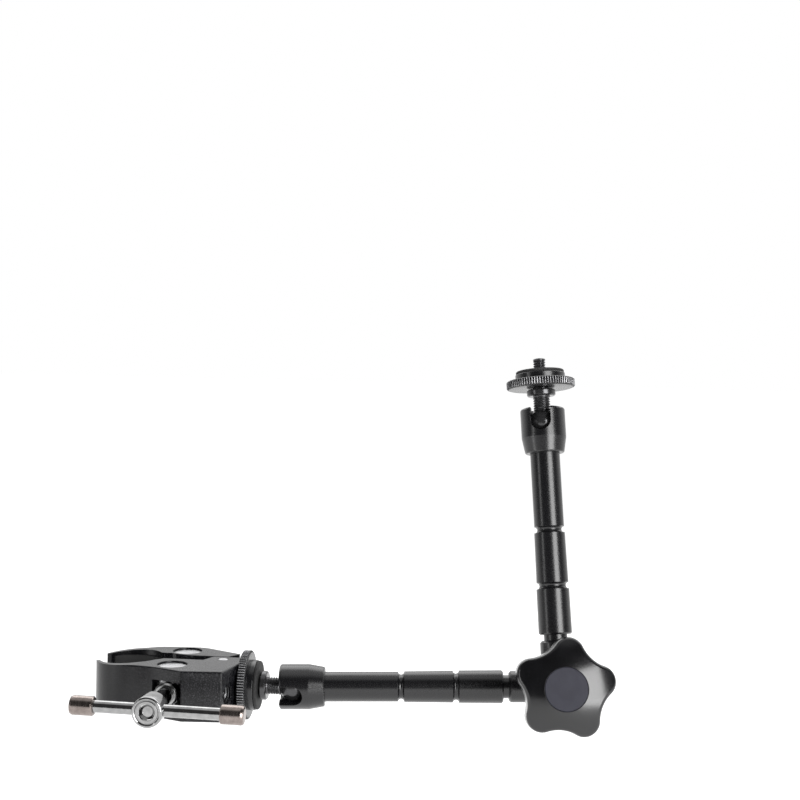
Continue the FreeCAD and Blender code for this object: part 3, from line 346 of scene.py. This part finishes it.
def knob_plastic(place):
    """Glossy moulded plastic with a soft unevenness from the mould."""
    material, tree, shader = new_material("knob_plastic", Specular_IOR_Level=0.7)
    where = local_millimetres(tree, place)
    wave = noise(tree, where, scale=0.12)
    grain = noise(tree, where, scale=2.5, detail=3.0)
    relief = combine(tree, "ADD", combine(tree, "MULTIPLY", wave, 4.0), combine(tree, "MULTIPLY", grain, 0.1))
    colour = graded(tree, wave, (0.003, 0.003, 0.0035), (0.005, 0.005, 0.006))
    rough = combine(tree, "ADD", remap(tree, grain, 0.15, 0.2), remap(tree, wave, -0.02, 0.03))
    finish_material(tree, shader, colour, rough, bump(tree, relief, distance=0.02, strength=0.5, edge=0.2))
    return material


def cap_plastic(place):
    """Matte slate cap with a fine eroded grain."""
    material, tree, shader = new_material("cap_plastic", Specular_IOR_Level=0.3)
    where = local_millimetres(tree, place)
    grain = noise(tree, where, scale=3.5, detail=4.0, roughness=0.6)
    cloud = noise(tree, where, scale=0.15)
    colour = graded(tree, cloud, (0.026, 0.026, 0.037), (0.033, 0.033, 0.046))
    rough = remap(tree, grain, 0.5, 0.62)
    finish_material(tree, shader, colour, rough, bump(tree, grain, distance=0.015, strength=0.8, edge=0.2))
    return material


FINISHES = {make.__name__: make for make in (
    powder_coat, black_anodised, knurled_anodised, black_steel, grip_rubber, friction_fibre, knob_plastic,
    cap_plastic)}
# The turning axis of each round solid; the others take the frame's own axes
NODE_PLACES = {
    "clamp_screw": SCREW, "screw_collar": SCREW, "tee_bar": BAR, "tee_cap_left": BAR, "tee_cap_right": BAR,
    "front_trunnion": FRONT_TRUNNION, "rear_trunnion": REAR_TRUNNION, "hinge_pin": PIN,
    "elbow_disc": BOLT, "elbow_bolt": BOLT, "elbow_washer": BOLT,
    "knob": BOLT, "knob_insert": BOLT, "knob_cap": BOLT,
}
for end, stud, arm in (("lower", LOWER_STUD, LOWER_ARM), ("upper", UPPER_STUD, UPPER_ARM)):
    for piece in ("ball", "stud", "stud_nut", "wheel_pad", "lock_wheel"):
        NODE_PLACES[f"{end}_{piece}"] = stud
    for piece in ("socket", "ball_seat", "tube", "push_rod", "elbow_half"):
        NODE_PLACES[f"{end}_{piece}"] = arm
SLOTS = {row["node"]: row["material_slot"] for row in frame["record"]["subparts"]}
PLACE_DIGITS = 6
made_finishes = {}


def finish_for(slot, place):
    """The material of a slot in the axes of a place, made once for each pair."""
    key = (slot, tuple(round(value, PLACE_DIGITS) for row in place for value in row))
    if key not in made_finishes:
        made_finishes[key] = bright_metal(slot, place) if slot in BRIGHT_METALS else FINISHES[slot](place)
    return made_finishes[key]


def dress_nodes():
    for name, node in frame["nodes"].items():
        material = finish_for(SLOTS[name], NODE_PLACES.get(name, WORLD))
        node.data.materials.clear()
        node.data.materials.append(material)


# Turned pieces with threads and knurls
SEGMENTS = 64
SHARP_ANGLE = math.radians(32)
THREAD_STEPS = 10
# A ridge's height against the share of its pitch is a steep wedge, cut off at 0 and 1 into flats
THREAD_SLOPE = 1.4
THREAD_ROOT = 0.2
KNURL_RIDGES = 80
KNURL_SLOPE = 4.0
KNURL_CREST = 1.5


def within_one(value):
    return min(1.0, max(0.0, value))


def thread(start, end, radius, depth, pitch):
    """Rings of a screw thread that fades out at both ends."""
    count = max(1, round(abs(end - start) / pitch * THREAD_STEPS))
    low, high = sorted((start, end))

    def radius_at(along):
        fade = max(0.0, min(1.0, (along - low) / pitch, (high - along) / pitch))

        def at(turns):
            phase = (along / pitch - turns) % 1.0
            ridge = within_one(abs(2.0 * phase - 1.0) * THREAD_SLOPE - THREAD_ROOT)
            return radius - depth * (1.0 - ridge) * fade
        return at

    steps = [start + (end - start) * index / count for index in range(count + 1)]
    return [(along, radius_at(along)) for along in steps]


def knurled(along, radius, floor):
    """A ring cut by straight grooves down to a floor radius."""
    def at(turns):
        phase = (turns * KNURL_RIDGES) % 1.0
        ridge = within_one(KNURL_CREST - abs(phase - 0.5) * KNURL_SLOPE)
        return min(radius, floor + max(0.0, radius - floor) * ridge)
    return along, at


def lathe(name, rings, place, segments=SEGMENTS, closed=False):
    """Turned mesh from rings (along, radius), where a radius may vary round the turn."""
    points = []
    rows = []
    for along, radius in rings:
        if radius == 0:
            rows.append([len(points)] * segments)
            points.append(place @ Vector((along, 0, 0)))
            continue
        row = []
        for index in range(segments):
            turns = index / segments
            size = radius(turns) if callable(radius) else radius
            angle = turns * math.tau
            row.append(len(points))
            points.append(place @ Vector((along, size * math.cos(angle), size * math.sin(angle))))
        rows.append(row)
    pairs = list(zip(rows, rows[1:]))
    if closed:
        pairs.append((rows[-1], rows[0]))
    faces = []
    for near, far in pairs:
        for index in range(segments):
            after = (index + 1) % segments
            corners = (near[index], near[after], far[after], far[index])
            faces.append(tuple(dict.fromkeys(corners)))
    mesh = bpy.data.meshes.new(name)
    mesh.from_pydata(points, [], faces)
    mesh.validate()
    mesh.shade_smooth()
    mesh.set_sharp_from_angle(angle=SHARP_ANGLE)
    piece = bpy.data.objects.new(name, mesh)
    bpy.context.scene.collection.objects.link(piece)
    return piece


def set_piece(piece, node, finish, place):
    """Gives a piece its finish and lets it stand for a solid and ride on its body."""
    piece.data.materials.append(finish_for(finish, place))
    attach(piece, frame["nodes"][node]["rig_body"])
    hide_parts(node)


STUD_SHANK = 4.0 * MM
STUD_SPIGOT = 2.6 * MM
RELIEF_RADIUS = 2.6 * MM
RELIEF_LENGTH = 0.7 * MM
SHANK_SET_BACK = 0.3 * MM
RUNNING_GAP = 0.05 * MM
NECK_PITCH = 1.25 * MM
NECK_DEPTH = 0.55 * MM
SCREW_PITCH = 1.27 * MM
SCREW_DEPTH = 0.5 * MM
EDGE = 0.4 * MM


def make_stud(end, place):
    """Stud with a coarse thread on its neck, a plain shank through the wheel and an end screw."""
    node = f"{end}_stud"
    start, tip, neck_radius = span(node, place)
    neck_start = span(f"{end}_ball", place)[1] + RUNNING_GAP
    nut_start = span(f"{end}_stud_nut", place)[0]
    screw_radius = MOUNTS["camera_screw"]["dims"]["r_mm"] * MM
    set_end = max(span(f"{end}_lock_wheel", place)[1], span(f"{end}_wheel_pad", place)[1])
    shank_end = set_end - SHANK_SET_BACK
    relief_end = shank_end + RELIEF_LENGTH
    rings = [(start, 0), (start, STUD_SPIGOT), (neck_start, STUD_SPIGOT), (neck_start, neck_radius - EDGE),
             (neck_start + EDGE, neck_radius)]
    rings += thread(neck_start + EDGE, nut_start, neck_radius, NECK_DEPTH, NECK_PITCH)
    rings += [(nut_start, STUD_SHANK), (shank_end, STUD_SHANK), (shank_end, RELIEF_RADIUS),
              (relief_end, RELIEF_RADIUS)]
    rings += thread(relief_end, tip - EDGE, screw_radius, SCREW_DEPTH, SCREW_PITCH)
    rings += [(tip, screw_radius - EDGE), (tip, 0)]
    piece = lathe(f"{end}_threaded_stud", rings, place)
    set_piece(piece, node, "black_steel", place)


STEPS_PER_RIDGE = 6
KNURL_DEPTH = 0.7 * MM
HUB_RADIUS = 12.7 * MM
HUB_LENGTH = 3.2 * MM
HUB_EDGE = 0.3 * MM
WHEEL_EDGE = 0.7 * MM
RIM_DROP = WHEEL_EDGE * 1.6
# Rings from the rim's face inward: way in, drop of the crests and drop of the floor, in shares of WHEEL_EDGE
RIM_RINGS = ((0.3, 0.7, 0.4), (1.0, 0.0, 0.0))


def rim_edge(face, inward, radius, floor):
    """Knurled rings of one edge of the rim, from its face; inward is 1 or -1."""
    return [knurled(face + inward * WHEEL_EDGE * way, radius - WHEEL_EDGE * crest, floor - WHEEL_EDGE * root)
            for way, crest, root in RIM_RINGS]


def make_wheel(end, place, outward):
    """Locking wheel with a straight knurl; outward is true where the hub faces away from the ball."""
    node = f"{end}_lock_wheel"
    start, stop, radius = span(node, place)
    bore = STUD_SHANK + RUNNING_GAP
    floor = radius - KNURL_DEPTH
    low, high = (start, stop - HUB_LENGTH) if outward else (start + HUB_LENGTH, stop)
    band = [(low, radius - RIM_DROP)] + rim_edge(low, 1, radius, floor)
    band += rim_edge(high, -1, radius, floor)[::-1] + [(high, radius - RIM_DROP)]
    if outward:
        rings = [(start, bore)] + band + [(high, HUB_RADIUS), (stop - HUB_EDGE, HUB_RADIUS),
                                          (stop, HUB_RADIUS - HUB_EDGE), (stop, bore)]
    else:
        rings = [(start, bore), (start, HUB_RADIUS - HUB_EDGE), (start + HUB_EDGE, HUB_RADIUS),
                 (low, HUB_RADIUS)] + band + [(stop, bore)]
    piece = lathe(f"{end}_knurled_wheel", rings, place, KNURL_RIDGES * STEPS_PER_RIDGE, closed=True)
    set_piece(piece, node, "knurled_anodised", place)


HEAD_LENGTH = 12.4 * MM
HEAD_EDGE = 1.1 * MM
SHANK_RADIUS = 4.25 * MM
# Where the shank rests on the front trunnion's flat and its thread begins
SHANK_END = -22.1 * MM
CLAMP_SCREW_RADIUS = 4.0 * MM
CLAMP_THREAD_DEPTH = 0.6 * MM
# Front of the head from its middle outward, as distance behind the face and radius in millimetres
HEAD_FRONT = ((2.1, 0), (2.2, 0.6), (2.2, 2.5), (1.6, 3.1), (0.5, 3.6), (0.1, 4.0), (0.1, 5.3), (0.8, 5.45),
              (0.8, 5.8), (0.25, 6.0), (0.0, 6.4), (0.0, 6.7), (0.15, 7.1), (0.5, 7.4))


def make_clamp_screw():
    """Clamp screw with a dished and grooved head and a thread through the trunnions."""
    start, tip, head_radius = span("clamp_screw", SCREW)
    shoulder = start + HEAD_LENGTH
    rings = [(start + behind * MM, radius * MM) for behind, radius in HEAD_FRONT]
    rings += [(start + HEAD_EDGE, head_radius), (shoulder - HEAD_EDGE, head_radius),
              (shoulder + HEAD_EDGE, SHANK_RADIUS), (SHANK_END, SHANK_RADIUS)]
    rings += thread(SHANK_END, tip - HEAD_EDGE, CLAMP_SCREW_RADIUS, CLAMP_THREAD_DEPTH, NECK_PITCH)
    rings += [(tip, CLAMP_SCREW_RADIUS - HEAD_EDGE), (tip, 0)]
    piece = lathe("clamp_screw_turned", rings, SCREW)
    set_piece(piece, "clamp_screw", "chrome", SCREW)


HOLE_PITCH = 1.59 * MM
HOLE_DEPTH = 0.6 * MM
HOLE_START = 1.3 * MM
SLEEVE_WALL = 0.02 * MM


def make_hole_thread():
    """Thread inside the accessory hole, a thin sleeve against its wall."""
    mount = MOUNTS["accessory_hole"]
    radius = mount["dims"]["r_mm"] * MM
    depth = mount["dims"]["length_mm"] * MM
    place = place_on(Vector(mount["pos_m"]), -Vector(mount["axis"]))
    rings = [(HOLE_START, radius), (depth, radius)]
    rings += thread(depth, HOLE_START, radius - SLEEVE_WALL, HOLE_DEPTH, HOLE_PITCH)
    piece = lathe("accessory_hole_thread", rings, place, closed=True)
    piece.data.materials.append(finish_for("black_steel", place))
    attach(piece, "front_clamp")


# Camera, as the photograph was taken
PHOTO_SIDE = 800
FOCAL_PIXELS = 1366.9
SENSOR = 36.0
CAMERA_POINT = Vector((200.1, -687.3, 170.8)) * MM
CAMERA_YAW = math.radians(5.28)
CAMERA_PITCH = math.radians(-1.88)
CAMERA_ROLL = math.radians(1.19)


def make_camera():
    forward = Vector((-math.sin(CAMERA_YAW) * math.cos(CAMERA_PITCH),
                      math.cos(CAMERA_YAW) * math.cos(CAMERA_PITCH), math.sin(CAMERA_PITCH)))
    level = Vector((math.cos(CAMERA_YAW), math.sin(CAMERA_YAW), 0))
    upright = level.cross(forward)
    right = level * math.cos(CAMERA_ROLL) + upright * math.sin(CAMERA_ROLL)
    top = upright * math.cos(CAMERA_ROLL) - level * math.sin(CAMERA_ROLL)
    matrix = Matrix((right, top, -forward)).transposed().to_4x4()
    matrix.translation = CAMERA_POINT
    data = bpy.data.cameras.new("camera")
    data.sensor_width = SENSOR
    data.lens = SENSOR * FOCAL_PIXELS / PHOTO_SIDE
    data.clip_start = 0.01
    data.clip_end = 50.0
    camera = bpy.data.objects.new("camera", data)
    camera.matrix_world = matrix
    bpy.context.scene.collection.objects.link(camera)
    bpy.context.scene.camera = camera


# Studio
STUDIO_CENTRE = Vector((0.12, -0.02, 0.06))
LAMP_DISTANCE = 1.3
# Azimuth and elevation in degrees, width and height in metres, and brightness, where 1 is white
SOFTBOXES = {
    "right_softbox": (41, 9, 0.72, 0.95, 8.5),
    "left_strip": (-57, 5, 0.16, 0.95, 4.0),
    "back_softbox": (180, 48, 2.4, 0.9, 1.9),
}
# Reflections find the room white where a direction's share along +Y or +Z passes these bounds
WHITE_BEHIND = (-0.1, 0.45)
WHITE_ABOVE = (0.85, 0.98)
ROOM_DARKEST = 0.06
ROOM_BRIGHTEST = 0.95
DIFFUSE_LEVEL = 0.35
WHITE = (1, 1, 1, 1)
FLOOR_LEVEL = -0.15
FLOOR_SIZE = 30.0
FLOOR_COLOUR = (0.55, 0.55, 0.55, 1)
FLOOR_ROUGHNESS = 0.9
FLOOR_GLOW = 0.83


def make_softbox(name):
    """Area lamp that looks at the object."""
    azimuth, elevation, width, height, brightness = SOFTBOXES[name]
    turn = math.radians(azimuth)
    rise = math.radians(elevation)
    away = Vector((math.sin(turn) * math.cos(rise), -math.cos(turn) * math.cos(rise), math.sin(rise)))
    data = bpy.data.lights.new(name, "AREA")
    data.shape = "RECTANGLE"
    data.size = width
    data.size_y = height
    data.energy = brightness * math.pi * width * height
    lamp = bpy.data.objects.new(name, data)
    lamp.location = STUDIO_CENTRE + away * LAMP_DISTANCE
    lamp.rotation_mode = "QUATERNION"
    lamp.rotation_quaternion = away.to_track_quat("Z", "Y")
    lamp.visible_camera = False
    bpy.context.scene.collection.objects.link(lamp)


def ray_kinds(tree):
    """1 for rays of the camera, and 1 for rays that come off a glossy surface or through glass."""
    rays = add_node(tree, "ShaderNodeLightPath").outputs
    return rays["Is Camera Ray"], combine(tree, "MAXIMUM", rays["Is Glossy Ray"], rays["Is Transmission Ray"])


def make_world():
    """White to the camera. Reflections see white behind and above the object and a dim room in front."""
    world = bpy.data.worlds.new("studio")
    bpy.context.scene.world = world
    world.use_nodes = True
    tree = world.node_tree
    tree.nodes.clear()
    place = add_node(tree, "ShaderNodeTexCoord")
    parts = add_node(tree, "ShaderNodeSeparateXYZ", {"Vector": place.outputs["Generated"]})
    behind = remap(tree, parts.outputs["Y"], 0.0, 1.0, *WHITE_BEHIND)
    above = remap(tree, parts.outputs["Z"], 0.0, 1.0, *WHITE_ABOVE)
    white = combine(tree, "MAXIMUM", behind, above)
    room = remap(tree, white, ROOM_DARKEST, ROOM_BRIGHTEST, 0.0, 1.0)
    camera, glossy = ray_kinds(tree)
    level = add_node(tree, "ShaderNodeMix", {"Factor": glossy, "A": DIFFUSE_LEVEL, "B": room})
    final = add_node(tree, "ShaderNodeMix", {"Factor": camera, "A": level.outputs[0], "B": 1.0})
    background = add_node(tree, "ShaderNodeBackground", {"Color": WHITE, "Strength": final.outputs[0]})
    output = add_node(tree, "ShaderNodeOutputWorld")
    tree.links.new(background.outputs[0], output.inputs["Surface"])


def make_floor():
    """Pale floor with a glow, so that the camera and reflections see it as white as the background."""
    half = FLOOR_SIZE / 2
    mesh = bpy.data.meshes.new("floor")
    corners = [(x, y, FLOOR_LEVEL) for x, y in ((-half, -half), (half, -half), (half, half), (-half, half))]
    mesh.from_pydata(corners, [], [(0, 1, 2, 3)])
    floor = bpy.data.objects.new("floor", mesh)
    bpy.context.scene.collection.objects.link(floor)
    material, tree, shader = new_material("floor", Base_Color=FLOOR_COLOUR, Roughness=FLOOR_ROUGHNESS,
                                          Specular_IOR_Level=0.0, Emission_Color=WHITE)
    glow = combine(tree, "MULTIPLY", combine(tree, "MAXIMUM", *ray_kinds(tree)), FLOOR_GLOW)
    tree.links.new(glow, shader.inputs["Emission Strength"])
    mesh.materials.append(material)


dress_nodes()
make_stud("lower", LOWER_STUD)
make_stud("upper", UPPER_STUD)
make_wheel("lower", LOWER_STUD, False)
make_wheel("upper", UPPER_STUD, True)
make_clamp_screw()
make_hole_thread()
make_camera()
for softbox in SOFTBOXES:
    make_softbox(softbox)
make_world()
make_floor()
bpy.context.scene.view_settings.view_transform = "Standard"
